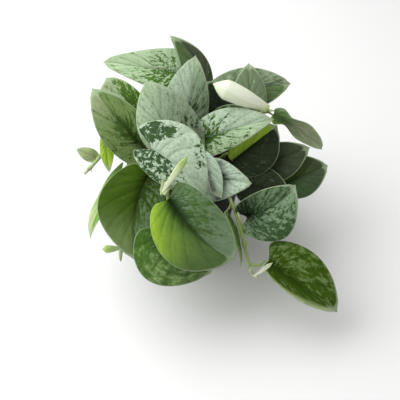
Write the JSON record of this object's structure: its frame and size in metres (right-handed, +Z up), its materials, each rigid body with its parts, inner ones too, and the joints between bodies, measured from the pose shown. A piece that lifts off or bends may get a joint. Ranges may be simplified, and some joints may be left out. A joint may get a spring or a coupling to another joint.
{
  "type": "satin pothos in a nursery pot",
  "caption": "Satin pothos with silver-marked heart-shaped leaves on short arching and trailing vines, growing from soil in a round black plastic nursery pot.",
  "frame": {"origin": "centre of the pot's flat underside", "axes": "+Z up along the pot's axis; -Y towards the side the foremost leaves lean to; +X to the right seen from there"},
  "size_m": [0.2486, 0.2436, 0.1953],
  "materials": {
    "leaf_silver": "satin",
    "leaf_mottled": "satin",
    "leaf_dark": "satin",
    "leaf_fresh": "satin",
    "leaf_lime": "satin",
    "new_leaf": "satin",
    "stem": "matte",
    "soil": "matte",
    "pot": "matte"
  },
  "bodies": {
    "root": {"pot": "pot", "soil": "soil", "vine_front": "stem", "vine_low": "stem", "vine_left": "stem", "vine_back": "stem", "vine_centre": "stem", "vine_right": "stem", "vine_trailing": "stem", "vine_upper": "stem", "vine_rear_left": "stem", "vine_rear_right": "stem", "leaf_front": "leaf_fresh", "leaf_centre": "leaf_silver", "leaf_crown_left": "leaf_silver", "leaf_crown_top": "leaf_silver", "leaf_top_left": "leaf_mottled", "leaf_top_dark": "leaf_dark", "leaf_left_rear": "leaf_mottled", "leaf_left": "leaf_mottled", "leaf_left_small": "leaf_lime", "leaf_left_pale": "leaf_lime", "leaf_left_edge": "leaf_fresh", "leaf_low_left": "leaf_fresh", "leaf_bottom": "leaf_mottled", "leaf_strip": "leaf_silver", "leaf_pointed": "leaf_silver", "leaf_right_patterned": "leaf_mottled", "leaf_right_folded": "leaf_dark", "leaf_right_dark": "leaf_dark", "leaf_right_under": "leaf_dark", "leaf_right_low": "leaf_dark", "leaf_far_right": "leaf_dark", "leaf_bottom_right": "leaf_mottled", "leaf_top": "leaf_dark", "leaf_top_rear": "leaf_mottled", "leaf_twisted": "leaf_dark", "leaf_inner_dark": "leaf_dark", "leaf_inner_small": "leaf_dark", "leaf_rear": "leaf_mottled", "leaf_rear_left": "leaf_mottled", "leaf_rear_right": "leaf_dark", "leaf_side_right": "leaf_dark", "leaf_trailing_edge": "leaf_fresh", "leaf_rear_high": "leaf_mottled", "leaf_rear_high_right": "leaf_dark", "leaf_side_left": "leaf_mottled", "leaf_inner_left": "leaf_mottled", "new_leaf_upper": "new_leaf", "new_leaf_front": "new_leaf", "bud_low": "leaf_lime", "bud_trailing": "leaf_lime"}
  },
  "joints": []
}
